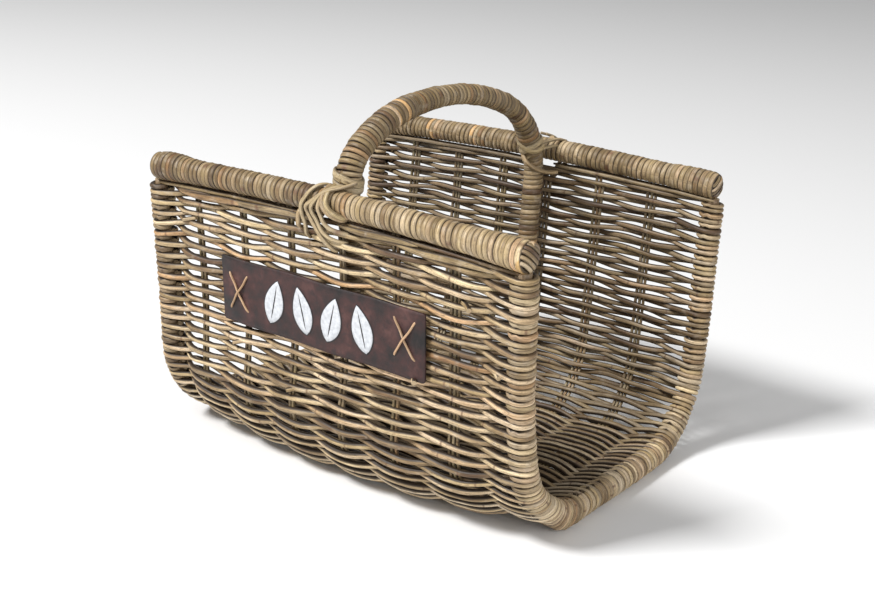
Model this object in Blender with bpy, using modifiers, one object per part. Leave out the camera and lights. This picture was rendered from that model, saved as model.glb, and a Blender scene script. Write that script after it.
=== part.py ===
"""Wicker log basket, open at both ends, with a fixed handle over the middle.

Metres, +Z up, origin on the ground under the middle of the basket. X runs along the two
rims, the front wall with the name plate faces -Y. A section across the basket is a U:
front wall, corner, floor, corner, back wall. Two end hoops and six pairs of stakes carry
that U, the weave passes in and out of the stakes and turns back round the hoops, a wrapped
pole closes each wall at the top and the handle stands inside the walls, lashed to both rims.
"""
import math

import bmesh
import bpy
from mathutils import Vector

# Overall sizes
HOOP_SPACING = 0.578          # between the centres of the two end hoops
RIM_SPACING = 0.468           # between the axes of the front and back rim poles
RIM_HEIGHT = 0.374            # ground to rim axis, at the rim ends
RIM_BOW = 0.009               # how much higher the rim stands in its middle
FRONT_LEAN = 0.094            # inward run of the front wall for each metre down
BACK_LEAN = 0.048
CORNER_RADIUS = 0.107         # section corner, at the middle of the weave

# Rods and wraps
HOOP_RADIUS = 0.009
STAKE_RADIUS = 0.0024
STAKE_PAIR_SPACING = 0.006    # between the two rods of a pair
RIM_POLE_RADIUS = 0.010
RIM_WRAP_RADIUS = 0.016
RIM_OVERHANG = 0.0085         # rim end beyond the hoop centre
RIM_END_SKIN = 0.004          # folded cane over the pole end
HANDLE_POLE_RADIUS = 0.009
HANDLE_WRAP_RADIUS = 0.0145
HANDLE_X = 0.020              # the handle stands a little right of the middle
HANDLE_RISE = 0.1045          # rim axis to handle axis at the top
HANDLE_SWAY = 0.0205          # how far the top of the arch leans over the front rim
HANDLE_LEG_LENGTH = 0.200     # leg below the rim axis
HANDLE_STRAIGHT = 0.024       # upright part of the leg above and below the rim axis
COLLAR_THICKNESS = 0.0035
COLLAR_LENGTH = 0.012
COLLAR_HEIGHT = 0.030         # rim axis to the lower edge of the collar, along the handle

# Weave
STAKE_COUNT = 6
STAKE_SHIFT = -0.0115         # all stakes stand this far left of an even spacing
WEAVE_THICKNESS = 0.0074      # the thickness of the cane
WEAVE_OVER_STAKE = 0.014      # length of weave lying flat over a pair of stakes
WEAVE_FLAT_AT_HOOP = 0.006
WEAVE_TAIL = 0.010            # end of a weaver past the hoop
WALL_BANDS = 5
CORNER_BANDS = 3
FLOOR_BANDS = 4
STEPS_PER_CORNER_BAND = 2
WEAVE_DROP = 0.026            # rim axis to the top of the first band, along the wall
HOOK_CORNERS = 6

# Trim
STRIP_HEIGHT = 0.0075
STRIP_THICKNESS = 0.0065
STRAP_WIDTH = 0.012
STRAP_THICKNESS = 0.0035
PLATE_LENGTH = 0.328
PLATE_HEIGHT = 0.087
PLATE_THICKNESS = 0.0035
PLATE_CORNER = 0.004
PLATE_DROP = 0.136            # rim axis to the middle of the plate, along the wall
STITCH_RADIUS = 0.0014
STITCH_WIDTH = 0.026
STITCH_HEIGHT = 0.052
STITCH_INSET = 0.024          # plate end to the middle of the crossed stitch

# Fits between neighbours
CLEAR = 0.0004
STRAP_CLEAR = 0.0005
BAND_GAP = 0.0006

# Facet counts
POLE_BEVEL = 4
THIN_ROD_BEVEL = 1
RIM_STEPS = 8
ARCH_STEPS = 20
STRAP_STEPS = 24

# Dependent sizes
HALF_SPACING = HOOP_SPACING / 2
HOOK_OFFSET = HOOP_RADIUS + CLEAR + WEAVE_THICKNESS / 2
WEAVE_OFFSET = STAKE_RADIUS + CLEAR + WEAVE_THICKNESS / 2
WEAVE_FACE = WEAVE_OFFSET + WEAVE_THICKNESS / 2
FLOOR_Z = HOOK_OFFSET + WEAVE_THICKNESS / 2
RIM_HALF_LENGTH = HALF_SPACING + RIM_OVERHANG
LEG_INSET = (max(RIM_POLE_RADIUS, WEAVE_FACE) + CLEAR + HANDLE_WRAP_RADIUS
             + HANDLE_STRAIGHT * FRONT_LEAN)
STAKE_STEP = HOOP_SPACING / (STAKE_COUNT + 1)
STAKE_XS = [-HALF_SPACING + STAKE_STEP * (k + 1) + STAKE_SHIFT for k in range(STAKE_COUNT)]
HANDLE_Z = RIM_HEIGHT + RIM_BOW * (1 - (HANDLE_X / RIM_HALF_LENGTH) ** 2)
FAR_STRAP_OFFSET = 2 * STRAP_CLEAR + 1.5 * STRAP_THICKNESS
STRAP_REACH = (RIM_POLE_RADIUS * math.sqrt(2) + STRAP_WIDTH + FAR_STRAP_OFFSET
               + STRAP_THICKNESS / 2) / math.sqrt(2)
LASHING_HALF = STRAP_REACH + 2 * CLEAR

FRONT = -1
BACK = 1

for old in list(bpy.data.objects):
    bpy.data.objects.remove(old, do_unlink=True)

parts = bpy.data.collections.new("wicker_log_basket")
bpy.context.scene.collection.children.link(parts)
cutters = bpy.data.collections.new("cutters")
bpy.context.scene.collection.children.link(cutters)


def material(name, colour, roughness):
    """A plain coloured material of its own for one part."""
    result = bpy.data.materials.new(name + "_material")
    result.use_nodes = True
    shader = result.node_tree.nodes["Principled BSDF"]
    shader.inputs["Base Color"].default_value = (*colour, 1.0)
    shader.inputs["Roughness"].default_value = roughness
    return result


def finish(obj, colour, roughness=0.6):
    """Give a part its material and soft shading with crisp edges."""
    obj.data.materials.clear()
    obj.data.materials.append(material(obj.name, colour, roughness))
    if obj.type == "MESH":
        obj.data.shade_smooth()
        obj.data.set_sharp_from_angle(angle=math.radians(32))
    return obj


def rod(name, points, radius, bevel, caps=True):
    """A round rod along a path of straight steps, its origin at the start of the path."""
    start = Vector(points[0])
    curve = bpy.data.curves.new(name, "CURVE")
    curve.dimensions = "3D"
    curve.bevel_depth = radius
    curve.bevel_resolution = bevel
    curve.use_fill_caps = caps
    spline = curve.splines.new("POLY")
    spline.points.add(len(points) - 1)
    for target, point in zip(spline.points, points):
        target.co = (*(Vector(point) - start), 1.0)
    obj = bpy.data.objects.new(name, curve)
    obj.location = start
    parts.objects.link(obj)
    return obj


def to_mesh(obj):
    """The same shape as a mesh object, its end caps joined to its sides."""
    bpy.context.view_layer.update()
    evaluated = obj.evaluated_get(bpy.context.evaluated_depsgraph_get())
    mesh = bpy.data.meshes.new_from_object(evaluated)
    work = bmesh.new()
    work.from_mesh(mesh)
    bmesh.ops.remove_doubles(work, verts=work.verts, dist=1e-6)
    work.to_mesh(mesh)
    work.free()
    name = obj.name
    world = obj.matrix_world.copy()
    bpy.data.objects.remove(obj, do_unlink=True)
    result = bpy.data.objects.new(name, mesh)
    result.matrix_world = world
    parts.objects.link(result)
    return result


def thicken(obj, thickness, offset):
    """Turn an open sheet into a closed wall of one thickness."""
    wall = obj.modifiers.new("thickness", "SOLIDIFY")
    wall.thickness = thickness
    wall.offset = offset
    wall.use_even_offset = True
    return wall


def sleeve(name, points, inner, outer):
    """A wrap round a rod: an open tube along the rod's own path with a thick wall."""
    obj = to_mesh(rod(name, points, outer, POLE_BEVEL, caps=False))
    thicken(obj, outer - inner, -1)
    return obj


def ribbon(name, points, across, thickness, closed=False):
    """A flat strip: a path drawn out sideways by one vector, then given a thickness."""
    across = Vector(across)
    middle = sum((Vector(p) for p in points), Vector()) / len(points)
    work = bmesh.new()
    low = [work.verts.new(Vector(p) - middle - across / 2) for p in points]
    edges = [work.edges.new(pair) for pair in zip(low, low[1:])]
    if closed:
        edges.append(work.edges.new((low[-1], low[0])))
    drawn = bmesh.ops.extrude_edge_only(work, edges=edges)
    moved = [item for item in drawn["geom"] if isinstance(item, bmesh.types.BMVert)]
    bmesh.ops.translate(work, verts=moved, vec=across)
    bmesh.ops.recalc_face_normals(work, faces=work.faces)
    mesh = bpy.data.meshes.new(name)
    work.to_mesh(mesh)
    work.free()
    obj = bpy.data.objects.new(name, mesh)
    obj.location = middle
    parts.objects.link(obj)
    thicken(obj, thickness, 0)
    return obj


# Section geometry, all in (y, z)

def lean_of(side):
    return FRONT_LEAN if side == FRONT else BACK_LEAN


def down(side):
    """Unit direction down a wall."""
    return Vector((-side * lean_of(side), -1.0)).normalized()


def outward(side):
    """Unit direction out of the basket, square to a wall."""
    return Vector((side, -lean_of(side))).normalized()


def turn(side):
    """Angle between a wall and the floor, as a path turns through it."""
    return math.acos(abs(down(side).x))


def wall_point(side, drop, offset=0.0):
    """A point on a wall, so far down from the rim axis and so far out of the weave."""
    top = Vector((side * RIM_SPACING / 2, RIM_HEIGHT))
    return top + down(side) * drop + outward(side) * offset


def corner_centre(side):
    reach = CORNER_RADIUS * math.tan(turn(side) / 2)
    foot = side * (RIM_SPACING / 2 - lean_of(side) * (RIM_HEIGHT - FLOOR_Z))
    return Vector((foot - side * reach, FLOOR_Z + CORNER_RADIUS))


def wall_length(side):
    """Rim axis to the start of the corner, along the wall."""
    reach = CORNER_RADIUS * math.tan(turn(side) / 2)
    return (RIM_HEIGHT - FLOOR_Z) / abs(down(side).y) - reach


def corner_point(side, swept):
    """A point of the corner arc, swept down from the end of the wall."""
    angle = turn(side) - swept
    centre = corner_centre(side)
    return centre + CORNER_RADIUS * Vector((side * math.sin(angle), -math.cos(angle)))


def section_path(front_drop, back_drop):
    """The whole U in (y, z), from the front wall down and up the back wall."""
    count = CORNER_BANDS * STEPS_PER_CORNER_BAND
    front = [corner_point(FRONT, turn(FRONT) * k / count) for k in range(count + 1)]
    back = [corner_point(BACK, turn(BACK) * k / count) for k in range(count + 1)]
    path = [wall_point(FRONT, front_drop)] + front + back[::-1]
    return path + [wall_point(BACK, back_drop)]


def rim_rise(x):
    """How far the rim stands above its ends."""
    return RIM_BOW * (1 - (x / RIM_HALF_LENGTH) ** 2)


def along(x, section):
    return [(x, point.x, point.y) for point in section]


# End hoops, from under one rim to under the other

for label, x in (("left", -HALF_SPACING), ("right", HALF_SPACING)):
    top = RIM_WRAP_RADIUS + CLEAR
    hoop = rod("hoop_" + label, along(x, section_path(top, top)), HOOP_RADIUS, POLE_BEVEL)
    finish(hoop, (0.36, 0.27, 0.17))

# Stakes in pairs; the pair behind the handle stops below its lashing

for number, middle in enumerate(STAKE_XS, start=1):
    for letter, shift in (("a", -0.5), ("b", 0.5)):
        x = middle + shift * STAKE_PAIR_SPACING
        top = RIM_WRAP_RADIUS + CLEAR - rim_rise(x)
        if abs(x - HANDLE_X) < LASHING_HALF:
            top = WEAVE_DROP
        path = along(x, section_path(top, top))
        finish(rod(f"stake_{number}{letter}", path, STAKE_RADIUS, THIN_ROD_BEVEL),
               (0.30, 0.22, 0.13))

# Weave: bands of cane that pass in and out of the stakes and hook round the end hoops


def hook(side, offset_sign):
    """Corner points round one hoop, from the tail to the side the band arrives on."""
    points = [(side * (HALF_SPACING - WEAVE_TAIL), -offset_sign * HOOK_OFFSET)]
    half_step = math.pi / HOOK_CORNERS / 2
    reach = HOOK_OFFSET / math.cos(half_step)
    for k in range(HOOK_CORNERS):
        angle = half_step * (2 * k + 1)
        points.append((side * (HALF_SPACING + reach * math.sin(angle)),
                       -offset_sign * reach * math.cos(angle)))
    points.append((side * (HALF_SPACING - WEAVE_FLAT_AT_HOOP), offset_sign * HOOK_OFFSET))
    return points


def weave_line(sign):
    """Band middle line as (x, offset): hook, in and out of six stakes, hook."""
    line = hook(-1, sign)
    for k, x in enumerate(STAKE_XS):
        side = sign * (-1) ** (k + 1)
        line.append((x - WEAVE_OVER_STAKE / 2, side * WEAVE_OFFSET))
        line.append((x + WEAVE_OVER_STAKE / 2, side * WEAVE_OFFSET))
    last = sign * (-1) ** (STAKE_COUNT + 1)
    return line + hook(1, last)[::-1]


def flat_band(name, start, end, normal, sign, colour):
    """A band of weave across a flat wall, between two section points."""
    middle = (start + end) / 2
    across = end - start
    across = across * (1 - BAND_GAP / across.length)
    points = []
    for x, offset in weave_line(sign):
        spot = middle + normal * offset
        points.append((x, spot.x, spot.y))
    band = ribbon(name, points, (0.0, across.x, across.y), WEAVE_THICKNESS)
    return finish(band, colour)


def corner_band(name, side, swept, sweep, sign, colour):
    """A band of weave round part of a corner: its line turned about the corner axis.

    Its end faces stand square to its first and last flats, so the trim allows for them.
    """
    tilt = math.sin(sweep / STEPS_PER_CORNER_BAND / 2)
    trim = (BAND_GAP + WEAVE_THICKNESS * tilt) / 2 / (CORNER_RADIUS - HOOK_OFFSET)
    angle = turn(side) - swept - trim
    radial = Vector((side * math.sin(angle), -math.cos(angle)))
    work = bmesh.new()
    line = []
    for x, offset in weave_line(sign):
        spot = radial * (CORNER_RADIUS + offset)
        line.append(work.verts.new((x, spot.x, spot.y)))
    for pair in zip(line, line[1:]):
        work.edges.new(pair)
    mesh = bpy.data.meshes.new(name)
    work.to_mesh(mesh)
    work.free()
    band = bpy.data.objects.new(name, mesh)
    centre = corner_centre(side)
    band.location = (0.0, centre.x, centre.y)
    parts.objects.link(band)
    screw = band.modifiers.new("corner", "SCREW")
    screw.axis = "X"
    screw.angle = -side * (sweep - 2 * trim)
    screw.steps = STEPS_PER_CORNER_BAND
    screw.render_steps = STEPS_PER_CORNER_BAND
    screw.use_merge_vertices = False
    screw.use_smooth_shade = False
    thicken(band, WEAVE_THICKNESS, 0)
    return finish(band, colour)


CANE = [(0.46, 0.37, 0.25), (0.40, 0.33, 0.23), (0.50, 0.40, 0.25), (0.43, 0.36, 0.27)]
made = 0
for side, label in ((FRONT, "front"), (BACK, "back")):
    first = WEAVE_DROP
    step = (wall_length(side) - first) / WALL_BANDS
    for k in range(WALL_BANDS):
        flat_band(f"weave_{label}_{k + 1}", wall_point(side, first + step * k),
                  wall_point(side, first + step * (k + 1)), outward(side),
                  1 if k % 2 == 0 else -1, CANE[made % len(CANE)])
        made += 1
    sweep = turn(side) / CORNER_BANDS
    for k in range(CORNER_BANDS):
        corner_band(f"weave_{label}_corner_{k + 1}", side, sweep * k, sweep,
                    -1 if k % 2 == 0 else 1, CANE[made % len(CANE)])
        made += 1

floor_start = corner_point(FRONT, turn(FRONT))
floor_end = corner_point(BACK, turn(BACK))
for k in range(FLOOR_BANDS):
    flat_band(f"weave_floor_{k + 1}", floor_start.lerp(floor_end, k / FLOOR_BANDS),
              floor_start.lerp(floor_end, (k + 1) / FLOOR_BANDS), Vector((0.0, -1.0)),
              1 if k % 2 == 0 else -1, CANE[made % len(CANE)])
    made += 1

# Rims: a bowed pole, a cane wrap closed over each end, and a strip of split cane below


def rim_axis(side, first, last):
    """Rim axis between two places along it, in equal steps of the whole rim."""
    stops = [RIM_HALF_LENGTH * (2 * k / RIM_STEPS - 1) for k in range(RIM_STEPS + 1)]
    xs = [first] + [x for x in stops if first < x < last] + [last]
    return [(x, side * RIM_SPACING / 2, RIM_HEIGHT + rim_rise(x)) for x in xs]


for side, label in ((FRONT, "front"), (BACK, "back")):
    pole_half = RIM_HALF_LENGTH - RIM_END_SKIN - CLEAR
    pole = rod("rim_pole_" + label, rim_axis(side, -pole_half, pole_half), RIM_POLE_RADIUS,
               POLE_BEVEL)
    finish(pole, (0.36, 0.27, 0.17))
    ends = {"left": (-RIM_HALF_LENGTH, HANDLE_X - LASHING_HALF),
            "right": (HANDLE_X + LASHING_HALF, RIM_HALF_LENGTH)}
    for end, (first, last) in ends.items():
        wrap = to_mesh(rod(f"rim_wrap_{label}_{end}", rim_axis(side, first, last),
                           RIM_WRAP_RADIUS, POLE_BEVEL))
        if end == "left":
            bore_path = rim_axis(side, first + RIM_END_SKIN, last + RIM_END_SKIN)
        else:
            bore_path = rim_axis(side, first - RIM_END_SKIN, last - RIM_END_SKIN)
        bore = to_mesh(rod(f"bore_{label}_{end}", bore_path, RIM_POLE_RADIUS + CLEAR,
                           POLE_BEVEL))
        parts.objects.unlink(bore)
        cutters.objects.link(bore)
        bore.hide_render = True
        bore.display_type = "WIRE"
        cut = wrap.modifiers.new("pole hole", "BOOLEAN")
        cut.operation = "DIFFERENCE"
        cut.solver = "EXACT"
        cut.object = bore
        finish(wrap, (0.47, 0.38, 0.27))
        strip_drop = RIM_WRAP_RADIUS + CLEAR + STRIP_HEIGHT / 2
        strip_out = STAKE_RADIUS + CLEAR + STRIP_THICKNESS / 2
        strip_half = HALF_SPACING - HOOP_RADIUS - CLEAR
        strip_first = max(first, -strip_half)
        strip_last = min(last, strip_half)
        points = []
        for x, _, z in rim_axis(side, strip_first, strip_last):
            spot = wall_point(side, strip_drop - (z - RIM_HEIGHT), strip_out)
            points.append((x, spot.x, spot.y))
        height = down(side) * STRIP_HEIGHT
        finish(ribbon(f"rim_strip_{label}_{end}", points, (0.0, height.x, height.y),
                      STRIP_THICKNESS), (0.50, 0.40, 0.26))

# Handle: a leg inside each wall and an arch over the middle, one continuous rod


def leg(side):
    """Handle leg axis in (y, z): along the wall, then upright past the rim."""
    top = Vector((side * (RIM_SPACING / 2 - LEG_INSET), HANDLE_Z - HANDLE_STRAIGHT))
    return [top + down(side) * (HANDLE_LEG_LENGTH - HANDLE_STRAIGHT), top]


handle_path = leg(FRONT)
for k in range(ARCH_STEPS + 1):
    angle = math.pi * k / ARCH_STEPS
    half_span = RIM_SPACING / 2 - LEG_INSET
    lift = HANDLE_STRAIGHT + (HANDLE_RISE - HANDLE_STRAIGHT) * math.sin(angle)
    sway = HANDLE_SWAY * math.sin(angle)
    handle_path.append(Vector((-half_span * math.cos(angle) - sway, HANDLE_Z + lift)))
handle_path += leg(BACK)[::-1]
handle_length = sum((b - a).length for a, b in zip(handle_path, handle_path[1:]))


def stretch(path, start, end):
    """The piece of a path between two distances along it."""
    result = []
    travelled = 0.0
    for a, b in zip(path, path[1:]):
        step = (b - a).length
        if travelled <= start < travelled + step:
            result.append(a.lerp(b, (start - travelled) / step))
        elif start < travelled < end:
            result.append(a)
        if travelled < end <= travelled + step:
            result.append(a.lerp(b, (end - travelled) / step))
        travelled += step
    return result


def handle_piece(start, end):
    return along(HANDLE_X, stretch(handle_path, start, end))


finish(rod("handle_pole", along(HANDLE_X, handle_path), HANDLE_POLE_RADIUS, POLE_BEVEL),
       (0.34, 0.25, 0.16))
collar_start = HANDLE_LEG_LENGTH + COLLAR_HEIGHT
collar_end = collar_start + COLLAR_LENGTH
bore_radius = HANDLE_POLE_RADIUS + CLEAR
arch_start = collar_end + 2 * CLEAR
finish(sleeve("handle_wrap_arch", handle_piece(arch_start, handle_length - arch_start),
              bore_radius, HANDLE_WRAP_RADIUS), (0.42, 0.33, 0.22))
spans = {"front": (0.0, collar_end), "back": (handle_length - collar_end, handle_length)}
collars = {"front": (collar_start, collar_end),
           "back": (handle_length - collar_end, handle_length - collar_start)}
for label, (start, end) in spans.items():
    finish(sleeve("handle_wrap_leg_" + label, handle_piece(start, end), bore_radius,
                  HANDLE_WRAP_RADIUS), (0.40, 0.31, 0.21))
    start, end = collars[label]
    inner = HANDLE_WRAP_RADIUS + CLEAR
    finish(sleeve("handle_collar_" + label, handle_piece(start, end), inner,
                  inner + COLLAR_THICKNESS), (0.52, 0.42, 0.28))

# Lashings: two straps cross over each rim and behind the handle leg


def strap_loop(side, slope, offset):
    """A closed loop round rim pole and leg, in the plane that holds Y and one diagonal.

    In that plane both rods cut as ellipses, sqrt(2) longer along the diagonal. The loop
    is where a line turning round both of them would touch, moved out by the offset.
    """
    points = []
    for k in range(STRAP_STEPS):
        angle = 2 * math.pi * (k + 0.5) / STRAP_STEPS
        facing = Vector((math.cos(angle), math.sin(angle)))
        best = None
        for radius, centre in ((RIM_POLE_RADIUS, 0.0), (HANDLE_WRAP_RADIUS, LEG_INSET)):
            long = radius * math.sqrt(2)
            support = math.hypot(long * facing.x, radius * facing.y)
            spot = Vector((long * long * facing.x / support,
                           radius * radius * facing.y / support + centre))
            spot.x += math.copysign(STRAP_WIDTH / 2, facing.x)
            if best is None or spot.dot(facing) > best.dot(facing):
                best = spot
        best = best + facing * offset
        points.append((HANDLE_X + best.x / math.sqrt(2),
                       side * (RIM_SPACING / 2 - best.y),
                       HANDLE_Z + slope * best.x / math.sqrt(2)))
    return points


for side, label in ((FRONT, "front"), (BACK, "back")):
    near = STRAP_CLEAR + STRAP_THICKNESS / 2
    for slope, lay, offset in ((1, "rising", near), (-1, "falling", FAR_STRAP_OFFSET)):
        across = Vector((1.0, 0.0, -slope)).normalized() * STRAP_WIDTH
        finish(ribbon(f"lashing_{label}_{lay}", strap_loop(side, slope, offset), across,
                      STRAP_THICKNESS, closed=True), (0.55, 0.46, 0.32))

# Leather plate on the front wall, with a crossed stitch near each end

plate_mesh = bpy.data.meshes.new("plate")
work = bmesh.new()
bmesh.ops.create_cube(work, size=1.0)
bmesh.ops.scale(work, verts=work.verts, vec=(PLATE_LENGTH, PLATE_HEIGHT, PLATE_THICKNESS))
upright = [edge for edge in work.edges
           if abs(edge.verts[0].co.z - edge.verts[1].co.z) > PLATE_THICKNESS / 2]
bmesh.ops.bevel(work, geom=upright, offset=PLATE_CORNER, segments=3, profile=0.5,
                affect="EDGES")
work.to_mesh(plate_mesh)
work.free()
plate = bpy.data.objects.new("plate", plate_mesh)
plate_out = WEAVE_FACE + CLEAR + PLATE_THICKNESS / 2
plate_at = wall_point(FRONT, PLATE_DROP, plate_out)
plate.location = (0.0, plate_at.x, plate_at.y)
plate.rotation_euler = (math.atan2(1.0, -FRONT_LEAN), 0.0, 0.0)
parts.objects.link(plate)
finish(plate, (0.12, 0.045, 0.04), 0.5)

for end, label in ((-1, "left"), (1, "right")):
    middle_x = end * (PLATE_LENGTH / 2 - STITCH_INSET)
    for slope, lay in ((1, "rising"), (-1, "falling")):
        crossing_lift = 0.0 if lay == "rising" else 2 * STITCH_RADIUS + CLEAR
        low = plate_out + PLATE_THICKNESS / 2 + CLEAR + STITCH_RADIUS
        points = []
        for share in (-1.0, -0.5, 0.0, 0.5, 1.0):
            spot = wall_point(FRONT, PLATE_DROP - slope * share * STITCH_HEIGHT / 2,
                              low + crossing_lift * (1 - abs(share)))
            points.append((middle_x + share * STITCH_WIDTH / 2, spot.x, spot.y))
        finish(rod(f"stitch_{label}_{lay}", points, STITCH_RADIUS, THIN_ROD_BEVEL),
               (0.55, 0.40, 0.24))
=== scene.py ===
"""A cradle basket for firewood: weathered cane woven on two end hoops, wrapped rims, a bound handle."""

import math

import bpy
import numpy as np
from mathutils import Matrix, Vector


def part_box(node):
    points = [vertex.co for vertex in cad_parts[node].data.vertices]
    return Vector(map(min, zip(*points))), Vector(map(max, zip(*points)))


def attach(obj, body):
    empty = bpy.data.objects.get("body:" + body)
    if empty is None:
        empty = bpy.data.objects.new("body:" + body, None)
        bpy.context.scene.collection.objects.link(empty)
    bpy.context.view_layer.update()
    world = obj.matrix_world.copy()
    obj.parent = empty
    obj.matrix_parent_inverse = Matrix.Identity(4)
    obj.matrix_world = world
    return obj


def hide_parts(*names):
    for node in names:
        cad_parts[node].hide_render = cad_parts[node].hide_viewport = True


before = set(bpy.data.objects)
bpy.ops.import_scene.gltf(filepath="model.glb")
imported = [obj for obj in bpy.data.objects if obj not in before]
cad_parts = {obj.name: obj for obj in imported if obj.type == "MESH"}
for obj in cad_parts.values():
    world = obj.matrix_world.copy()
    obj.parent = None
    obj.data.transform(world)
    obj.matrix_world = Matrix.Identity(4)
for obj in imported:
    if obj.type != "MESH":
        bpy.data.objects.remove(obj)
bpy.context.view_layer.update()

rng = np.random.default_rng(23)


# ---- End hoops -------------------------------------------------------------------------
# Each open end of the basket is held by a peeled pole 18 mm thick, bent wet into a U.
# The maker set the two hoops upright first, and every row of weaving turns round them.

pole_low, pole_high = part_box("rim_pole_front")
rim_pole_radius = (pole_high.y - pole_low.y) / 2
rim_y = -(pole_low.y + pole_high.y) / 2
rim_end_z = pole_low.z + rim_pole_radius
rim_middle_z = pole_high.z - rim_pole_radius
rim_half = pole_high.x
floor_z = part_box("weave_floor_1")[1].z / 2
hoop_low, hoop_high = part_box("hoop_right")
hoop_x = (hoop_low.x + hoop_high.x) / 2
hoop_radius = (hoop_high.x - hoop_low.x) / 2
SPARE = 0.05


def lean_of(upper, lower):
    """Inward run of a wall for each metre down, from the middles of two of its weave bands."""
    (a, b), (c, d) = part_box(upper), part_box(lower)
    return abs(a.y + b.y - c.y - d.y) / abs(a.z + b.z - c.z - d.z)


def half_section(lean, corner_y):
    """Half of the U: a leaning wall, a round corner, then the floor as far as the middle.
    Gives a function of the distance down from the rim (outward y, z, outward normal) and its lengths."""
    turn = math.acos(lean / math.hypot(1, lean))
    foot = rim_y - lean * (rim_end_z - floor_z)
    reach = foot - corner_y
    radius = reach / math.tan(turn / 2)
    wall = (rim_end_z - floor_z) * math.hypot(1, lean) - reach
    fall = np.array([-lean, -1]) / math.hypot(1, lean)

    def point(s):
        swept = np.clip((s - wall) / radius, 0, turn)
        angle = turn - swept
        down = np.minimum(s, wall)
        level = np.maximum(s - wall - radius * turn, 0)
        on_wall = s < wall
        y = np.where(on_wall, rim_y + fall[0] * down, corner_y + radius * np.sin(angle) - level)
        z = np.where(on_wall, rim_end_z + fall[1] * down, floor_z + radius - radius * np.cos(angle))
        return np.stack([y, z, np.sin(angle), -np.cos(angle)])

    return point, wall, radius * turn, corner_y


front_lean = lean_of("weave_front_1", "weave_front_5")
back_lean = lean_of("weave_back_1", "weave_back_5")
front_half = half_section(front_lean, -(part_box("weave_floor_1")[0].y - 0.0003))
back_half = half_section(back_lean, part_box("weave_floor_4")[1].y + 0.0003)
front_length = sum(front_half[1:])
around = front_length + sum(back_half[1:])
s_table = np.linspace(-SPARE, around + SPARE, 4000)
front_side = front_half[0](s_table) * np.array([[-1], [1], [-1], [1]])
section_table = np.where(s_table < front_length, front_side, back_half[0](around - s_table))

BELLY, BELLY_BELOW_WALL = 0.026, 0.087
BELLY_UP, BELLY_DOWN = 0.085, 0.042
TUCK_LEFT, TUCK_RIGHT = 0.0085, 0.0135
BACK_BELLY = 0.004
BOW_REACH = 0.17
CANE_ROOM, LEAST_ROOM = 0.0045, 0.0008
LEFT_STRAYS = ((-0.0060, 0.0, 0.09), (-0.0035, 0.17, 0.06), (-0.0020, 0.34, 0.06))
RIGHT_STRAYS = ((0.0050, 0.36, 0.07), (0.0050, 0.58, 0.12), (-0.0025, 0.16, 0.05))


def bow(x):
    """How much higher the rim stands at x than at its ends: a parabola."""
    return (rim_middle_z - rim_end_z) * (1 - (x / rim_half) ** 2)


def hill(s, middle, width):
    """A bell curve of height one."""
    return np.exp(-0.5 * ((s - middle) / width) ** 2)


def belly(x, s):
    """How far the lower front corner bulges: a parabola along x times a bell down the wall,
    less a tuck at the two hoops, and with a faint bulge of the back wall."""
    middle = front_half[1] + BELLY_BELOW_WALL
    width = np.where(s < middle, BELLY_UP, BELLY_DOWN)
    across = np.clip(1 - ((x + 0.03) / 0.32) ** 2, 0, None)
    tuck = np.where(x > 0, TUCK_RIGHT, TUCK_LEFT) * (np.abs(x) / hoop_x) ** 6
    back = BACK_BELLY * across * hill(s, around - 0.33, 0.05)
    return BELLY * across * hill(s, middle, width) - tuck * hill(s, middle + 0.012, 0.06) + back


def stray(x, s):
    """How far the hoops wander from straight along x: a sum of bells (far, middle, width) down each
    hoop, fading towards the middle of the basket."""
    left, right = (sum(far * hill(s, middle, width) for far, middle, width in strays)
                   for strays in (LEFT_STRAYS, RIGHT_STRAYS))
    back = 0.003 * hill(s, around - 0.2, 0.07)
    share = np.clip(np.abs(x) / hoop_x, 0, 1.1) ** 2
    return share * np.where(x > 0, right + back, -left - back)


def place(x, s, out):
    """The point x along the basket, s round the U from the front rim, and out from its middle surface."""
    x, s, out = np.broadcast_arrays(x, s, out)
    near_front, near_back = (np.clip(1 - far / BOW_REACH, 0, 1) ** 2 for far in (s, around - s))
    lift = bow(x) * (near_front - near_back)
    y, z, ny, nz = (np.interp(s - lift, s_table, row) for row in section_table)
    plain_z = z + nz * out
    bulge = belly(x, s)
    drop = -bulge * nz
    room = np.maximum(plain_z - CANE_ROOM, LEAST_ROOM)
    drop = drop / (1 + (drop / room) ** 4) ** 0.25
    return np.stack([x + stray(x, s), y + ny * (out + bulge), plain_z - drop], -1)


def outward(x, s):
    """The direction straight out of the weaving."""
    return place(x, s, 0.001) - place(x, s, 0.0)


def unit(v):
    """Vectors brought to length one."""
    return v / np.maximum(np.linalg.norm(v, axis=-1, keepdims=True), 1e-12)


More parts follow.
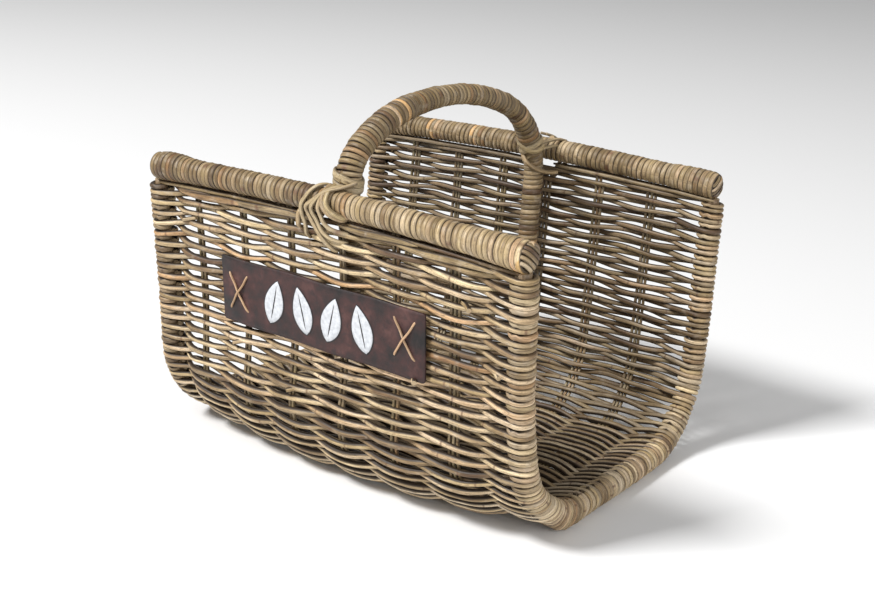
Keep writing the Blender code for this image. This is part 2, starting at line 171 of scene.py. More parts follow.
def tubes(lines, out, radius, strand, sides=8, flat=1.0, square=1.0):
    """Canes along lines (strand, point, xyz): each ring is the middle + N r f cos a + B r sin a,
    with N the outward direction squared to the line and B across it; square below 1 raises both
    cos a and sin a to that power, for split cane with a flatter back. Ends are closed flat."""
    count, points = lines.shape[:2]
    along = unit(np.gradient(lines, axis=1))
    out = np.broadcast_to(out, lines.shape)
    n = unit(out - along * np.sum(out * along, -1, keepdims=True))
    b = np.cross(along, n)
    radius = np.broadcast_to(radius, (count, points))
    angle = np.linspace(0, 2 * np.pi, sides, endpoint=False)
    rise, across = [np.sign(c) * np.abs(c) ** square for c in (np.cos(angle), np.sin(angle))]
    ring = flat * n[:, :, None] * rise[:, None] + b[:, :, None] * across[:, None]
    verts = lines[:, :, None] + ring * radius[:, :, None, None]
    index = np.arange(count * points * sides).reshape(count, points, sides)
    near, far = index[:, :-1], index[:, 1:]
    near_next, far_next = np.roll(near, -1, 2), np.roll(far, -1, 2)
    quads = np.stack([near, near_next, far_next, far], -1).reshape(-1, 4)
    step = np.linalg.norm(np.diff(lines, axis=1), axis=-1)
    run = np.concatenate([np.zeros((count, 1)), np.cumsum(step, 1)], 1)
    u = np.broadcast_to(run[:, :, None], index.shape)
    v = np.broadcast_to(np.arange(sides) / sides, index.shape)
    corner_u = np.stack([u[:, :-1], u[:, :-1], u[:, 1:], u[:, 1:]], -1).reshape(-1, 4)
    v_near, v_next = v[:, :-1], v[:, :-1] + 1 / sides
    corner_v = np.stack([v_near, v_next, v_next, v_near], -1).reshape(-1, 4)
    i = np.arange(sides // 2 - 1)
    ladder = np.stack([i, i + 1, sides - 2 - i, sides - 1 - i], -1)
    last = index[:, -1][:, ladder].reshape(-1, 4)
    first = index[:, 0][:, ladder[:, ::-1]].reshape(-1, 4)
    caps = np.concatenate([first, last])
    cap_uv = np.stack([np.zeros(caps.shape), np.full(caps.shape, 2.0)], -1)
    uv = np.concatenate([np.stack([corner_u, corner_v], -1), cap_uv])
    strand = np.broadcast_to(np.reshape(strand, (count, -1)), (count, points))
    tint = np.repeat(strand.reshape(-1), sides)
    return verts.reshape(-1, 3), np.concatenate([quads, caps]), uv, tint


def add_piece(name, parts, material, replaced=()):
    """One mesh piece from the parts that tubes() gives, riding on the basket's body."""
    starts = np.cumsum([0] + [len(part[0]) for part in parts])
    shifted = [(verts, faces + start, uv, tint) for (verts, faces, uv, tint), start in zip(parts, starts)]
    verts, faces, uv, tint = (np.concatenate(column) for column in zip(*shifted))
    mesh = bpy.data.meshes.new(name)
    mesh.vertices.add(len(verts))
    mesh.vertices.foreach_set("co", verts.astype(np.float32).ravel())
    mesh.loops.add(faces.size)
    mesh.loops.foreach_set("vertex_index", faces.astype(np.int32).ravel())
    mesh.polygons.add(len(faces))
    mesh.polygons.foreach_set("loop_start", np.arange(0, faces.size, 4, dtype=np.int32))
    mesh.update(calc_edges=True)
    mesh.uv_layers.new(name="cane")
    mesh.uv_layers["cane"].data.foreach_set("uv", uv.astype(np.float32).ravel())
    mesh.attributes.new("strand", "FLOAT", "POINT")
    mesh.attributes["strand"].data.foreach_set("value", tint.astype(np.float32))
    mesh.polygons.foreach_set("use_smooth", uv[:, 0, 1] < 1.5)
    mesh.materials.append(material)
    piece = bpy.data.objects.new(name, mesh)
    bpy.context.scene.collection.objects.link(piece)
    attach(piece, "root")
    if replaced:
        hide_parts(*replaced)


def add(tree, kind, inputs=(), **settings):
    """A node of that kind, with its settings, and its inputs joined to sockets or filled with values."""
    node = tree.nodes.new("ShaderNode" + kind)
    for key, value in settings.items():
        setattr(node, key, value)
    for key, value in dict(inputs).items():
        if isinstance(value, bpy.types.NodeSocket):
            tree.links.new(value, node.inputs[key])
        else:
            node.inputs[key].default_value = value
    return node


def blank_finish(name):
    """A new material with its node tree and its shader."""
    material = bpy.data.materials.new(name)
    material.use_nodes = True
    return material, material.node_tree, material.node_tree.nodes["Principled BSDF"]


def maths(tree, operation, *values):
    """The output of one Math node."""
    return add(tree, "Math", dict(enumerate(values)), operation=operation).outputs[0]


def noise(tree, vector, scale=1.0, detail=2.0, roughness=0.5):
    """The grey value of a Noise texture."""
    inputs = {"Vector": vector, "Scale": scale, "Detail": detail, "Roughness": roughness}
    return add(tree, "TexNoise", inputs).outputs["Fac"]


def graded(tree, value, low, high, to_low=0.0, to_high=1.0):
    """value taken smoothly from low..high to to_low..to_high."""
    inputs = {"Value": value, "From Min": low, "From Max": high, "To Min": to_low, "To Max": to_high}
    return add(tree, "MapRange", inputs, interpolation_type="SMOOTHSTEP").outputs[0]


def mixed(tree, share, first, second, blend="MIX"):
    """Colour first turned towards colour second by share."""
    node = add(tree, "Mix", data_type="RGBA", blend_type=blend)
    for socket, value in zip((0, 6, 7), (share, first, second)):
        if isinstance(value, bpy.types.NodeSocket):
            tree.links.new(value, node.inputs[socket])
        else:
            node.inputs[socket].default_value = value
    return node.outputs[2]


def ramp(tree, value, stops):
    """A colour ramp of (place, colour) stops."""
    node = add(tree, "ValToRGB", {"Fac": value})
    marks = node.color_ramp.elements
    while len(marks) < len(stops):
        marks.new(0.5)
    for mark, (where, colour) in zip(marks, stops):
        mark.position = where
        mark.color = (*colour, 1)
    return node.outputs["Color"]


BROWN_SKIN = (0.145, 0.085, 0.048, 1)
PALE_PATCH = (0.56, 0.49, 0.40, 1)
PORE = (0.07, 0.045, 0.028, 1)
KNOT_RING = (0.13, 0.055, 0.028, 1)
# Dark brown for the flanks and backs of the canes: grime and painted shade together.
GRIME_AND_SHADE = (0.030, 0.018, 0.010, 1)
FRESH_CUT = (0.50, 0.37, 0.22, 1)
CANE_HUES = [(0.0, (1.16, 0.90, 0.68)), (0.08, (1.06, 0.95, 0.85)), (0.30, (1.03, 0.98, 0.91)),
             (0.58, (1.04, 0.985, 0.80)), (0.76, (1.01, 0.97, 0.88)), (1.0, (0.97, 0.97, 0.97))]
FIBRE_SHADES = [(0.32, (0.26, 0.21, 0.16)), (0.44, (0.74, 0.70, 0.65)), (0.53, (1.0, 0.99, 0.97)),
                (0.66, (1.36, 1.34, 1.30))]


def cane_finish(name, tones, dirt_and_shade=1.0, knots=5.2, bright_end=0.0):
    """Weathered cane. The tint runs through tones by strand, and its hue is picked by strand too.
    Noise stretched along u gives fibres, pores and torn brown skin, noise in object space gives pale
    and dark weathering, rings along u are the nodes of the cane, and its flanks and back are darkened,
    partly by grime and partly by painted shade where canes press together and on their hidden side."""
    material, tree, shader = blank_finish(name)
    split = add(tree, "SeparateXYZ", {0: add(tree, "UVMap", uv_map="cane").outputs[0]})
    u, v = split.outputs[0], split.outputs[1]
    strand = add(tree, "Attribute", attribute_name="strand").outputs["Fac"]
    spot = add(tree, "TexCoord").outputs["Object"]
    angle = maths(tree, "MULTIPLY", v, 2 * math.pi)
    round_x, round_y = maths(tree, "COSINE", angle), maths(tree, "SINE", angle)
    shift = maths(tree, "MULTIPLY", strand, 91.7)

    def stretched(along, across):
        far = maths(tree, "MULTIPLY_ADD", u, along, shift)
        sides = [maths(tree, "MULTIPLY", value, across) for value in (round_x, round_y)]
        return add(tree, "CombineXYZ", {0: far, 1: sides[0], 2: sides[1]}).outputs[0]

    fibres = noise(tree, stretched(42, 3.4), detail=6.0, roughness=0.68)
    drift = noise(tree, stretched(9, 0.5))
    pores = noise(tree, stretched(420, 5.5), detail=1.0)
    cloud = noise(tree, spot, 21.0, detail=4.0)
    patch = noise(tree, spot, 75.0, detail=3.0)
    skin = noise(tree, stretched(95, 2.0), detail=4.0, roughness=0.6)
    spot_x = add(tree, "SeparateXYZ", {0: spot}).outputs[0]
    right_end = graded(tree, spot_x, 0.22, 0.29, 0, bright_end)
    tone = maths(tree, "ADD", strand, graded(tree, drift, 0.3, 0.7, -0.17, 0.17))
    tone = maths(tree, "ADD", tone, right_end)
    tone = maths(tree, "ADD", tone, graded(tree, cloud, 0.35, 0.68, 0.10, -0.16))
    colour = ramp(tree, tone, tones)
    pick = maths(tree, "FRACT", maths(tree, "MULTIPLY", strand, 37.1))
    colour = mixed(tree, 1.0, colour, ramp(tree, pick, CANE_HUES), "MULTIPLY")
    colour = mixed(tree, graded(tree, skin, 0.55, 0.66, 0, 0.62), colour, BROWN_SKIN)
    colour = mixed(tree, graded(tree, patch, 0.56, 0.72, 0, 0.32), colour, PALE_PATCH)
    colour = mixed(tree, 0.85, colour, ramp(tree, fibres, FIBRE_SHADES), "MULTIPLY")
    colour = mixed(tree, graded(tree, pores, 0.64, 0.72, 0, 0.55), colour, PORE)
    far = maths(tree, "MULTIPLY_ADD", u, knots, maths(tree, "MULTIPLY", strand, 17.3))
    off_knot = maths(tree, "ABSOLUTE", maths(tree, "SUBTRACT", maths(tree, "FRACT", far), 0.5))
    knot = graded(tree, off_knot, 0.0, 0.012, 1, 0)
    colour = mixed(tree, maths(tree, "MULTIPLY", knot, 0.7), colour, KNOT_RING)
    # Painted shade and grime: the flanks where neighbouring canes touch and the back of each cane are
    # darkened, partly as real grime and partly as shade painted into the colour. Past the ends of the
    # hoops this darkening falls to about half.
    sideways = graded(tree, maths(tree, "ABSOLUTE", round_y), 0.48, 0.94, 0, dirt_and_shade)
    behind = graded(tree, round_x, 0.1, -0.8, 0, dirt_and_shade * 0.45)
    fade_past_hoops = graded(tree, maths(tree, "ABSOLUTE", spot_x), hoop_x + 0.004, hoop_x + 0.012, 1, 0.55)
    grime_and_shade = maths(tree, "MULTIPLY", maths(tree, "MAXIMUM", sideways, behind), fade_past_hoops)
    colour = mixed(tree, grime_and_shade, colour, GRIME_AND_SHADE)
    cut = maths(tree, "GREATER_THAN", v, 1.5)
    colour = mixed(tree, maths(tree, "MULTIPLY", cut, 0.85), colour, FRESH_CUT)
    tree.links.new(colour, shader.inputs["Base Color"])
    tree.links.new(graded(tree, fibres, 0.35, 0.7, 0.61, 0.39), shader.inputs["Roughness"])
    height = maths(tree, "SUBTRACT", fibres, maths(tree, "MULTIPLY", knot, 0.5))
    bump = add(tree, "Bump", {"Height": height, "Strength": 0.55, "Distance": 0.0006})
    tree.links.new(bump.outputs[0], shader.inputs["Normal"])
    shader.inputs["Specular IOR Level"].default_value = 0.5
    return material


POLE_TONES = [(0.0, (0.16, 0.10, 0.06)), (0.5, (0.27, 0.19, 0.12)), (1.0, (0.33, 0.26, 0.18))]
peeled_rod = cane_finish("peeled_rod", POLE_TONES, dirt_and_shade=0.3, knots=3.0)


def smooth_noise(x, size, reach):
    """A seeded wandering line: a few sines of random phase, about size high, reach long."""
    total = 0
    for share, scale in ((0.6, 1.0), (0.3, 2.3), (0.15, 5.1)):
        total = total + share * np.sin(2 * np.pi * x * scale / reach + rng.uniform(0, 2 * np.pi))
    return size * total


def laid(x, s, out, radius, strand, **shape):
    """One cane laid along the weaving through x, s and out, its flat side facing outwards."""
    return tubes(place(x, s, out)[None], outward(x, s)[None], radius, strand, **shape)


HOOP_BELOW_RIM = 0.0165
PEEL = 0.0004
POLE_SIDES = 14
for side, name in ((-1, "hoop_left"), (1, "hoop_right")):
    s = np.linspace(HOOP_BELOW_RIM, around - HOOP_BELOW_RIM, 170)
    hoop = laid(side * hoop_x, s, 0.0, hoop_radius - PEEL, rng.random(), sides=POLE_SIDES)
    add_piece("end_" + name, [hoop], peeled_rod, [name])


# ---- Stakes ----------------------------------------------------------------------------
# Six pairs of thin whole rods run down the front, under the floor and up the back. A third,
# thinner rod stands beside each pair at the back, and beside the last pair at the front too.

stake_low, stake_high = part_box("stake_1a")
stake_radius = (stake_high.x - stake_low.x) / 2
STAKE_TONES = [(0.0, (0.24, 0.17, 0.10)), (0.3, (0.37, 0.29, 0.18)), (0.6, (0.43, 0.36, 0.24)),
               (0.85, (0.34, 0.30, 0.20)), (1.0, (0.47, 0.38, 0.24))]
stake_cane = cane_finish("stake_cane", STAKE_TONES, dirt_and_shade=0.55)
group_x = []
for k in range(1, 7):
    pair = [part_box(f"stake_{k}{letter}") for letter in "ab"]
    group_x.append(sum(low.x + high.x for low, high in pair) / 4)
    for letter, (low, high) in zip("ab", pair):
        x = (low.x + high.x) / 2
        top = rim_end_z + bow(x) - high.z
        s = np.linspace(top, around - top, 150)
        line = place(x + smooth_noise(s, 0.0006, 0.21), s, smooth_noise(s, 0.0004, 0.17))
        rod = tubes(line[None], outward(x, s)[None], stake_radius, rng.random())
        add_piece(f"rod_{k}{letter}", [rod], stake_cane, [f"stake_{k}{letter}"])
group_x = np.array(group_x)

ROD_BELOW_RIM = 0.03
THIRD_ASIDE = 0.0082
THIN_SHARE = 0.92
extra_rods = []
for k, middle in enumerate(group_x):
    start = ROD_BELOW_RIM if k == 5 else around * rng.uniform(0.52, 0.62)
    s = np.linspace(start, around - ROD_BELOW_RIM, 110)
    aside = middle + THIRD_ASIDE * (1 if k != 3 else -1) + smooth_noise(s, 0.0006, 0.19)
    extra_rods.append(tubes(place(aside, s, smooth_noise(s, 0.0005, 0.2))[None],
                            outward(middle, s)[None], stake_radius * THIN_SHARE, rng.random()))
add_piece("extra_rods", extra_rods, stake_cane)


# ---- Weaving ---------------------------------------------------------------------------
# Round whole cane about 7 mm thick goes in front of one group of stakes and behind the next.
# At each hoop the cane turns right round the pole, and its end is tucked in behind.

CANE = 0.0036
THINNEST, THICKEST = 0.0029, 0.0044
PITCH = 0.00745
FIRST_ROW = 0.0245
HOOK_TURN = math.radians(258)
FULLNESS = ((0.02, 0.535), (0.10, 0.535), (0.22, 0.53), (0.38, 0.525), (0.60, 0.50), (0.75, 0.475),
            (1.06, 0.460))
hook_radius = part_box("weave_floor_1")[1].x - hoop_x - CANE - 0.0002
WEAVE_TONES = [(0.00, (0.11, 0.064, 0.033)), (0.16, (0.20, 0.134, 0.073)), (0.32, (0.30, 0.218, 0.125)),
               (0.48, (0.40, 0.305, 0.183)), (0.64, (0.50, 0.395, 0.255)), (0.80, (0.60, 0.49, 0.34)),
               (1.00, (0.76, 0.64, 0.48))]
woven_cane = cane_finish("woven_cane", WEAVE_TONES, bright_end=0.14)

probe = np.linspace(FIRST_ROW, around - FIRST_ROW, 3000)
walked = np.cumsum(np.linalg.norm(np.diff(place(0.17, probe, 0.0), axis=0), axis=1))
walked = np.concatenate([[0], walked])
row_count = int(round(walked[-1] / PITCH))
row_s = np.interp(np.linspace(0, walked[-1], row_count), walked, probe)
row_s = row_s + rng.uniform(-0.0004, 0.0004, row_count)

run_x = np.linspace(-hoop_x, hoop_x, 101)
turn = np.linspace(0, HOOK_TURN, 14)[1:]
over = np.where(np.arange(row_count) % 2 == 0, 1.0, -1.0)[:, None]
knots_x = np.concatenate([[-hoop_x], group_x, [hoop_x]])
beat = np.cos(np.pi * np.interp(run_x, knots_x, np.arange(-1.0, 7.0)))
beat = beat * (1.2 - 0.2 * beat ** 2)  # flatter than a cosine where it passes the stakes
swing = stake_radius + CANE + 0.0001
height = np.interp(run_x, knots_x, [hook_radius] + [swing] * 6 + [hook_radius])
run_out = over * beat * height
left_sign, right_sign = over * beat[0], over * beat[-1]
left_x = np.broadcast_to(-hoop_x - hook_radius * np.sin(turn), (row_count, len(turn)))[:, ::-1]
right_x = np.broadcast_to(hoop_x + hook_radius * np.sin(turn), (row_count, len(turn)))
left_out = (left_sign * hook_radius * np.cos(turn))[:, ::-1]
right_out = right_sign * hook_radius * np.cos(turn)
all_x = np.concatenate([left_x, np.broadcast_to(run_x, run_out.shape), right_x], 1)
all_out = np.concatenate([left_out, run_out, right_out], 1)

clamp_x = np.clip(all_x, -hoop_x, hoop_x)
common = 0
for size, along, down in ((0.0016, 0.31, 0.23), (0.0012, 0.17, 0.11), (0.0007, 0.083, 0.19)):
    phases = rng.uniform(0, 2 * np.pi, 2)
    common = common + size * np.sin(2 * np.pi * clamp_x / along + phases[0]) * np.sin(
        2 * np.pi * row_s[:, None] / down + phases[1])
own = 0
for size, along in ((0.0008, 0.16), (0.0006, 0.085)):
    phase = rng.uniform(0, 2 * np.pi, (row_count, 1))
    own = own + size * np.sin(2 * np.pi * clamp_x / along + phase)
fade = np.clip((np.minimum(row_s, around - row_s) - 0.02) / 0.03, 0, 1)[:, None]
all_s = row_s[:, None] + (common + own) * fade
rows = place(all_x, all_s, all_out)
# Round a hoop a cane's outer side turns with it, away from the pole.
swivel = np.concatenate([turn[::-1], np.zeros(len(run_x)), turn])[None, :, None]
lean_x = np.concatenate([-left_sign * np.sin(turn)[::-1], np.zeros((row_count, len(run_x))),
                         right_sign * np.sin(turn)], 1)
row_facing = outward(all_x, all_s) * np.cos(swivel) + lean_x[..., None] * np.array([1.0, 0, 0])

middles = place(clamp_x, all_s, 0.0)
gap = np.linalg.norm(np.diff(middles, axis=0), axis=-1)
gap = (np.concatenate([gap[:1], gap]) + np.concatenate([gap, gap[-1:]])) / 2
# A cane is about half as thick as its row is high, fuller at the front than at the back.
fullness = np.interp(row_s, *zip(*FULLNESS))[:, None]
row_radius = np.clip(fullness * gap, THINNEST, THICKEST) * rng.uniform(0.90, 1.08, (row_count, 1))
row_strand = np.clip(rng.normal(0.54, 0.19, row_count), 0.02, 0.98)

runs = (("front", range(1, 6), front_half[1]), ("front_corner", range(1, 4), front_half[2]),
        ("floor", range(1, 5), front_half[3] + back_half[3]),
        ("back_corner", range(3, 0, -1), back_half[2]), ("back", range(5, 0, -1), back_half[1]))
bands = [(part, k) for part, numbers, _ in runs for k in numbers]
band_end = np.cumsum([length / len(numbers) for _, numbers, length in runs for _ in numbers])
row_band = np.clip(np.searchsorted(band_end, row_s), 0, len(bands) - 1)
for number, (part, k) in enumerate(bands):
    mine = row_band == number
    strands = tubes(rows[mine], row_facing[mine], row_radius[mine], row_strand[mine], sides=10)
    add_piece(f"rows_{part}_{k}", [strands], woven_cane, [f"weave_{part}_{k}"])

# A few canes end between two stakes, and their cut ends stand out of the front wall.
CUT_ENDS = ((0.151, 0.179, 0.013, 0.75), (-0.236, 0.058, 0.010, 0.4), (-0.151, 0.208, 0.010, 0.6),
            (0.226, 0.071, 0.010, 0.5), (0.268, 0.142, 0.009, 0.8), (-0.052, 0.246, 0.009, 0.5))
CUT_LENGTH = 0.016
stubs = []
for x, s, swing_out, tint in CUT_ENDS:
    t = np.linspace(0, 1, 10)
    back_x = x + CUT_LENGTH * (t - 1) * (1 if x > 0 else -1)
    path = place(back_x, s + 0.003 * t, 0.0045 + swing_out * t ** 1.6)
    facing = outward(np.full(10, x), np.full(10, s))
    stubs.append(tubes(path[None], facing[None], 0.0031, tint, sides=10))
add_piece("cut_ends_front", stubs, woven_cane)


# ---- Rims ------------------------------------------------------------------------------
# A pole 20 mm thick lies along each top edge, over the stake ends. Cane is wound round it
# side by side from end to end, and each end of the pole is covered by strips folded over it.

WALLS = ((-1, "front"), (1, "back"))
RIM_TONES = [(0.00, (0.11, 0.066, 0.036)), (0.20, (0.20, 0.145, 0.078)), (0.38, (0.27, 0.205, 0.118)),
             (0.54, (0.35, 0.27, 0.165)), (0.70, (0.44, 0.35, 0.23)), (0.85, (0.54, 0.44, 0.31)),
             (0.97, (0.66, 0.55, 0.41)), (1.00, (0.60, 0.41, 0.20))]
wrapping_cane = cane_finish("wrapping_cane", RIM_TONES, dirt_and_shade=0.95, knots=2.3)
WRAP_POINTS = 22
WRAP_PITCH = 0.0073
WRAP_HALF_WIDTH = 0.0041
ODD_TURNS = 0.016
RIM_SHADE = {("front", "left"): 0.36, ("front", "right"): 0.66,
             ("back", "left"): 0.40, ("back", "right"): 0.50}
wrap_low, wrap_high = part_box("rim_wrap_front_left")
cane_half = ((wrap_high.y - wrap_low.y) / 2 - rim_pole_radius) / 2


def wound(axis, first, second, distance, pitches, ring_radius, half_width, half_height, shade,
          spread=0.12):
    """Cane wound round a path: path + R cos(a) first + R sin(a) second, a growing by 2 pi each pitch.
    axis, first, second and ring_radius are functions of the distance along the path. Every turn
    has its own tint, and a few are the orange of newer cane."""
    ends = np.concatenate([[distance], distance + np.cumsum(pitches)])
    turns = len(pitches)
    step = np.linspace(0, turns, turns * WRAP_POINTS + 1)
    t = np.interp(step, np.arange(turns + 1), ends)
    a = 2 * np.pi * step
    wobble = np.interp(step, np.arange(turns + 1), rng.uniform(-0.0005, 0.0005, turns + 1))
    spoke = np.cos(a)[:, None] * first(t) + np.sin(a)[:, None] * second(t)
    line = axis(t) + spoke * (ring_radius(t) + wobble)[:, None]
    tint = np.clip(rng.normal(shade, spread, turns + 1), 0.02, 0.96)
    tint = np.where(rng.random(turns + 1) < ODD_TURNS, 1.0, tint)
    strand = tint[np.clip(np.floor(step + 0.25).astype(int), 0, turns)]
    width = half_width(t) if callable(half_width) else half_width
    return tubes(line[None], spoke[None], width, strand[None], flat=half_height / np.mean(width),
                 square=0.68)


def rim_lift(side, x):
    """The rims stand up a little where the hoops meet them, most of all at the front left."""
    return (0.004 if side < 0 else 0.0015) * hill(x, -0.258, 0.024) + 0.002 * hill(x, 0.262, 0.03)


def rim_axis(side):
    """Functions of x for one rim: its middle line, upwards and outwards."""
    def line(x):
        z = rim_end_z + bow(x) + rim_lift(side, x) * 0.5
        return np.stack([x, np.full_like(x, side * rim_y), z], -1)
    return line, lambda x: np.array([0.0, 0, 1]), lambda x: np.array([0.0, side, 0])


def rim_swell(side):
    """Radius of the winding's middle along a rim: thicker near both ends."""
    def radius(x):
        end = np.clip((np.abs(x) - 0.215) / 0.06, 0, 1)
        return rim_pole_radius + cane_half + 0.0017 * end ** 2 * (3 - 2 * end) + rim_lift(side, x) * 0.5
    return radius


handle_low, handle_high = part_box("handle_pole")
handle_x = (handle_low.x + handle_high.x) / 2
wrap_end = {("front", -1): hoop_x - 0.0075, ("front", 1): hoop_x + 0.0060,
            ("back", -1): hoop_x - 0.0010, ("back", 1): hoop_x + 0.0015}
for side, wall in WALLS:
    line, up, out = rim_axis(side)
    left_end, right_end = -wrap_end[wall, -1], wrap_end[wall, 1]
    x = np.linspace(left_end + 0.001, right_end - 0.001, 80)
    facing = np.broadcast_to(up(x), (80, 3))
    rod = tubes(line(x)[None], facing[None], rim_pole_radius - 0.0001, 0.3, sides=POLE_SIDES)
    add_piece(f"rim_rod_{wall}", [rod], peeled_rod, [f"rim_pole_{wall}"])
    for half, start, stop in (("left", left_end, handle_x), ("right", handle_x, right_end)):
        count = int(round((stop - start) / WRAP_PITCH))
        pitches = rng.uniform(0.85, 1.15, count)
        pitches = pitches * (stop - start) / pitches.sum()
        winding = wound(line, up, out, start, pitches, rim_swell(side), WRAP_HALF_WIDTH, cane_half,
                        RIM_SHADE[wall, half])
        add_piece(f"rim_winding_{wall}_{half}", [winding], wrapping_cane,
                  [f"rim_wrap_{wall}_{half}"])

STRIP_HALF = 0.0027
STRIP_PITCH = 0.0056
STRIP_TAIL = 0.0115
FOLD = 0.0085
END_HALF = 0.016


def end_strips(side, wall, end, slope):
    """Flat strips folded over a rim end: each runs up one flank, over a dome and down the other.
    Along x it is end + fold cos^0.75(b), across it is a sin^0.75(b) with a the chord at its place."""
    line, _, _ = rim_axis(side)
    centre = line(np.array([end * wrap_end[wall, end]]))[0]
    across = np.array([0, math.sin(slope) * side, math.cos(slope)])
    beside = np.cross([1.0, 0, 0], across)
    b = np.linspace(-np.pi / 2, np.pi / 2, 17)
    places = np.arange(-2, 3) * STRIP_PITCH + rng.uniform(-0.0004, 0.0004, 5)
    parts = []
    for q in places:
        chord = math.sqrt(max(END_HALF ** 2 - q ** 2, 1e-8))
        fold = FOLD * (0.55 + 0.45 * chord / END_HALF) + rng.uniform(-0.0005, 0.0005)
        sweep = np.sign(np.sin(b)) * np.abs(np.sin(b)) ** 0.75 * chord
        forth = np.abs(np.cos(b)) ** 0.75 * fold - 0.003
        sweep = np.concatenate([[-chord + 0.0012], sweep, [chord - 0.0012]])
        forth = np.concatenate([[-STRIP_TAIL], forth, [-STRIP_TAIL]])
        strip = centre + np.outer(sweep, across) + np.outer(forth, [end, 0, 0]) + beside * q
        facing = strip - (centre - np.array([end * 0.010, 0, 0]) + beside * q * 0.4)
        parts.append(tubes(strip[None], facing[None], STRIP_HALF, rng.random(), flat=0.42))
    return parts


for side, wall in WALLS:
    for end, half in ((-1, "left"), (1, "right")):
        strips = end_strips(side, wall, end, math.radians(52 * end))
        add_piece(f"rim_end_strips_{wall}_{half}", strips, wrapping_cane)

# Under each rim lies one thin row, and long flat splits of cane with pointed ends fill the
# space between the straight weaving and the bowed rim. They are held by the rim's winding.

THIN_ROW = 0.0030
THIN_ROW_DROP = 0.0190
split_spans = {"left": [(-0.245, -0.105, 0.0255), (-0.165, 0.000, 0.0215)],
               "right": [(0.030, 0.150, 0.0200), (0.115, 0.258, 0.0250)]}
for side, wall in WALLS:
    for half, start, stop in (("left", -hoop_x - 0.004, -0.004), ("right", 0.046, hoop_x + 0.004)):
        x = np.linspace(start, stop, 40)
        s = THIN_ROW_DROP + smooth_noise(x, 0.0004, 0.12)
        s_side = s if side < 0 else around - s
        parts = [laid(x, s_side, out, THIN_ROW, rng.random()) for out in (0.0052, -0.0062)]
        for low, high, drop in split_spans[half]:
            t = np.linspace(0, 1, 30)
            x = low + (high - low) * t
            s = drop + 0.0012 * np.sin(np.pi * t * 2) + rng.uniform(-0.0008, 0.0008)
            s_side = s if side < 0 else around - s
            width = 0.0012 + 0.0038 * np.sin(np.pi * t) ** 0.7
            out = 0.0075 + 0.0032 * np.sin(np.pi * t) ** 0.6
            parts.append(laid(x, s_side, out, width[None], rng.uniform(0.3, 0.6), flat=0.38))
        add_piece(f"rim_splits_{wall}_{half}", parts, wrapping_cane,
                  [f"rim_strip_{wall}_{half}"])


# ---- Handle ----------------------------------------------------------------------------
# One pole 18 mm thick is bent into an arch, and its legs stand inside the walls between the
# stakes. Cane is wound round it, finer on the front leg than on the back one.

handle_radius = (handle_high.x - handle_low.x) / 2
arch_low, arch_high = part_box("handle_wrap_arch")
handle_wrap = (arch_high.x - arch_low.x) / 2
half_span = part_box("handle_wrap_leg_back")[1].y - handle_wrap
handle_top = handle_high.z - handle_radius
leg_end = handle_low.z
at_rim = rim_end_z + bow(handle_x)
ARCH_KNOTS = [(-0.987, -0.30), (-1.000, -0.10), (-1.018, 0.10), (-1.020, 0.31), (-0.968, 0.50),
              (-0.890, 0.63), (-0.790, 0.745), (-0.660, 0.855), (-0.500, 0.940), (-0.215, 1.000),
              (0.059, 0.990), (0.317, 0.905), (0.556, 0.765), (0.690, 0.640), (0.802, 0.465),
              (0.885, 0.261), (0.945, 0.05), (0.985, -0.20), (0.990, -0.45)]
SOFTEN = 37


def handle_line():
    """The handle's middle line (y, z): up the leaning front leg, a lopsided arch through the knots
    (share of half the span, share of the rise over the rim), then down the back leg, all of it
    smoothed by a moving average with bell-shaped weights."""
    rise = handle_top - at_rim
    y = [half_span * share for share, _ in ARCH_KNOTS]
    z = [at_rim + rise * share for _, share in ARCH_KNOTS]
    share = np.array([1.0, 0.5, 0.0])
    front = z[0] - (z[0] - leg_end) * share
    back = z[-1] - (z[-1] - leg_end) * share[::-1]
    front_y, back_y = y[0] + front_lean * (z[0] - front), y[-1] - back_lean * (z[-1] - back)
    y = np.concatenate([front_y, y[1:-1], back_y])
    z = np.concatenate([front, z[1:-1], back])
    far = np.concatenate([[0], np.cumsum(np.hypot(np.diff(y), np.diff(z)))])
    even = np.linspace(0, far[-1], 1200)
    weights = np.hanning(2 * SOFTEN + 1)
    fine = [np.pad(np.interp(even, far, c), SOFTEN, mode="reflect", reflect_type="odd") for c in (y, z)]
    y, z = [np.convolve(c, weights / weights.sum(), "valid") for c in fine]
    length = np.concatenate([[0], np.cumsum(np.hypot(np.diff(y), np.diff(z)))])
    t = np.linspace(0, length[-1], 900)
    return t, np.interp(t, length, y), np.interp(t, length, z)


handle_t, handle_y, handle_z = handle_line()
ahead = unit(np.stack([np.gradient(handle_y), np.gradient(handle_z)], -1))


def handle_axis(t):
    """Point on the handle's middle line at distance t from the front leg's end."""
    y, z = np.interp(t, handle_t, handle_y), np.interp(t, handle_t, handle_z)
    return np.stack([np.full_like(y, handle_x), y, z], -1)


def handle_out(t):
    """Away from the arch, square to the handle."""
    ty, tz = np.interp(t, handle_t, ahead[:, 0]), np.interp(t, handle_t, ahead[:, 1])
    return np.stack([np.zeros_like(ty), -tz, ty], -1)


def handle_side(t):
    """Across the handle, along the basket."""
    return np.array([1.0, 0, 0])


handle_length = handle_t[-1]
pole_t = np.linspace(0, handle_length, 130)
pole = tubes(handle_axis(pole_t)[None], handle_out(pole_t)[None], handle_radius, 0.4, sides=POLE_SIDES)
add_piece("handle_rod", [pole], peeled_rod, ["handle_pole"])
leg_front = np.interp(arch_low.z, handle_z[:300], handle_t[:300])
leg_back = handle_length - np.interp(arch_low.z, handle_z[::-1][:300], handle_t[:300])
handle_cane = (handle_wrap - handle_radius) / 2


